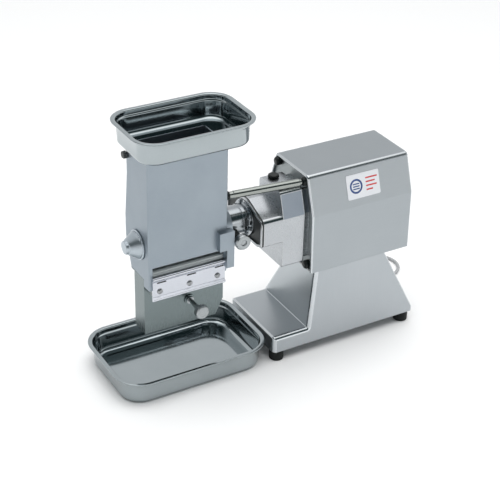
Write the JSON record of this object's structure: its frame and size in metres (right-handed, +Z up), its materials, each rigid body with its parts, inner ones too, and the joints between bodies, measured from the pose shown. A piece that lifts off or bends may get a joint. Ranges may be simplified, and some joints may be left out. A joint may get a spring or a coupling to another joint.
{
  "type": "electric meat grinder",
  "caption": "Pedestal motor unit driving a tall twin-roller meat chute through a lockable hub, with a feed tray on top and a collecting tray below.",
  "frame": {"origin": "on the table, under the middle of the machine's footprint without its lead", "axes": "+X from the attachment to the rear of the motor, +Y away from the operator, +Z up"},
  "size_m": [0.794, 0.307, 0.5501],
  "materials": {
    "satin_steel": "satin brushed stainless sheet",
    "polished_steel": "polished stainless",
    "plain_steel": "turned or ground steel",
    "cast_aluminium": "satin cast aluminium",
    "black_plastic": "moulded black plastic",
    "grey_plastic": "moulded grey plastic",
    "green_plastic": "moulded green plastic",
    "red_plastic": "moulded red plastic",
    "black_rubber": "black rubber",
    "grey_lead": "grey flexible sheath",
    "bronze": "turned bronze",
    "copper": "enamelled copper windings",
    "core_steel": "stacked laminations",
    "label": "printed foil"
  },
  "bodies": {
    "machine": {"base_shell": "satin_steel", "base_bottom_plate": "satin_steel", "rubber_feet": "black_rubber", "foot_screws": "plain_steel", "motor_hood": "satin_steel", "motor_deck": "plain_steel", "deck_bolts": "plain_steel", "mounting_plate": "cast_aluminium", "plate_knobs": "black_plastic", "rating_plate": "label", "switch_housing": "black_plastic", "gear_case": "cast_aluminium", "gear_front_cover": "cast_aluminium", "drive_hub": "polished_steel", "hub_bolts": "plain_steel", "gearbox_bearings": "plain_steel", "shaft_seals": "black_rubber", "motor_stator": "core_steel", "stator_windings": "copper", "motor_end_shields": "cast_aluminium", "motor_bearings": "plain_steel", "run_capacitor": "grey_plastic", "stay_rod": "polished_steel", "stay_tip": "black_plastic", "cable_gland": "black_plastic", "cord_lead": "grey_lead", "cord_coil": "grey_lead", "cord_plug": "grey_plastic"},
    "rotor": {"rotor_shaft": "plain_steel", "rotor_core": "core_steel", "cooling_fan": "black_plastic", "motor_pinion": "plain_steel"},
    "countershaft_set": {"countershaft": "plain_steel", "countershaft_gear": "plain_steel", "countershaft_pinion": "plain_steel"},
    "output_set": {"output_shaft": "plain_steel", "output_gear": "plain_steel"},
    "attachment": {"chute_body": "cast_aluminium", "roller_bushes": "bronze", "bearing_cap": "cast_aluminium", "comb_bar": "plain_steel", "scraper_strip": "polished_steel", "strip_screws": "plain_steel", "discharge_duct": "satin_steel", "tray_clip": "plain_steel"},
    "driven_roller": {"driven_roller_shaft": "plain_steel", "driven_blade_roller": "plain_steel", "driven_roller_gear": "plain_steel"},
    "idle_roller": {"idle_roller_shaft": "plain_steel", "idle_blade_roller": "plain_steel", "idle_roller_gear": "plain_steel"},
    "feed_tray": {"upper_tray": "satin_steel"},
    "collecting_tray": {"lower_tray": "satin_steel"},
    "start": {"start_button": "green_plastic"},
    "stop": {"stop_button": "red_plastic"},
    "lock_knob": {"hub_lock_knob": "polished_steel"},
    "duct_screw": {"duct_thumbscrew": "polished_steel"},
    "filler_plug": {"oil_plug": "black_plastic"}
  },
  "joints": [
    {"name": "rotor_spin", "type": "hinge", "parent": "machine", "child": "rotor", "pos_m": [0.156, -0.03597, 0.26677], "axis": [1, 0, 0], "continuous": true},
    {"name": "countershaft_spin", "type": "hinge", "parent": "machine", "child": "countershaft_set", "pos_m": [0.026, -0.05097, 0.297], "axis": [1, 0, 0], "continuous": true},
    {"name": "output_spin", "type": "hinge", "parent": "machine", "child": "output_set", "pos_m": [-0.004, -0.012, 0.306], "axis": [1, 0, 0], "continuous": true},
    {"name": "attachment_slide", "type": "slide", "parent": "machine", "child": "attachment", "axis": [-1, 0, 0], "range_m": [0, 0.045]},
    {"name": "driven_roller_spin", "type": "hinge", "parent": "attachment", "child": "driven_roller", "pos_m": [-0.174, -0.012, 0.306], "axis": [1, 0, 0], "continuous": true},
    {"name": "idle_roller_spin", "type": "hinge", "parent": "attachment", "child": "idle_roller", "pos_m": [-0.174, 0.018, 0.306], "axis": [1, 0, 0], "continuous": true},
    {"name": "feed_tray_lift", "type": "slide", "parent": "attachment", "child": "feed_tray", "axis": [0, 0, 1], "range_m": [0, 0.08]},
    {"name": "collecting_tray_slide", "type": "slide", "parent": "machine", "child": "collecting_tray", "axis": [0, -1, 0], "range_m": [0, 0.2]},
    {"name": "start_push", "type": "slide", "parent": "machine", "child": "start", "axis": [0, -0.8695, -0.494], "range_m": [0, 0.004], "stiffness_N_per_m": 500, "springref_m": -0.002},
    {"name": "stop_push", "type": "slide", "parent": "machine", "child": "stop", "axis": [0, -0.8695, -0.494], "range_m": [0, 0.004], "stiffness_N_per_m": 500, "springref_m": -0.002},
    {"name": "lock_knob_turn", "type": "hinge", "parent": "machine", "child": "lock_knob", "pos_m": [-0.065, -0.062, 0.288], "axis": [0, -1, 0], "range_deg": [0, 720]},
    {"name": "duct_screw_turn", "type": "hinge", "parent": "attachment", "child": "duct_screw", "pos_m": [-0.1635, -0.062, 0.166], "axis": [0, -1, 0], "range_deg": [0, 1080]},
    {"name": "filler_plug_turn", "type": "hinge", "parent": "machine", "child": "filler_plug", "pos_m": [0.039, -0.006, 0.38], "axis": [0, 0, 1], "range_deg": [0, 1080]}
  ],
  "couplings": [
    {"joint": "countershaft_spin", "follows": "rotor_spin", "ratio": -0.28571},
    {"joint": "output_spin", "follows": "rotor_spin", "ratio": 0.12245},
    {"joint": "driven_roller_spin", "follows": "rotor_spin", "ratio": 0.12245},
    {"joint": "idle_roller_spin", "follows": "rotor_spin", "ratio": -0.12245}
  ]
}
